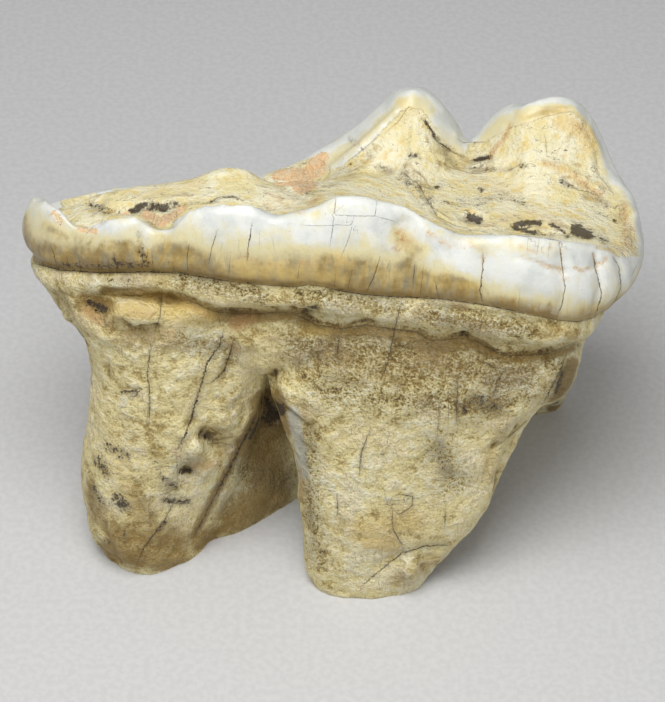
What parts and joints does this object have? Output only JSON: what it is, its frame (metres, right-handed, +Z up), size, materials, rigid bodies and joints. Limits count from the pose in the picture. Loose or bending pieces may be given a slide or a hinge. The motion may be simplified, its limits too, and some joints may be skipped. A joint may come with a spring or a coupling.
{
  "type": "fossil cave bear molar",
  "caption": "Fossil cave bear upper molar standing on its root tips: worn two-cusped enamel crown with a long heel over forked, weathered roots.",
  "frame": {"origin": "centre of the bounding box, seen from above, at the height of the root tips' flat facets", "axes": "+X towards the tooth's front end, along the crown; +Y towards the cheek side with the two tall cusps; +Z up, from the root tips to the cusps"},
  "size_m": [0.0456, 0.0278, 0.0323],
  "materials": {
    "fossil_tooth": "weathered ivory-brown bone and dentine, with smooth white and yellow enamel on the crown"
  },
  "bodies": {
    "root": {"cave_bear_tooth": "fossil_tooth"}
  },
  "joints": []
}
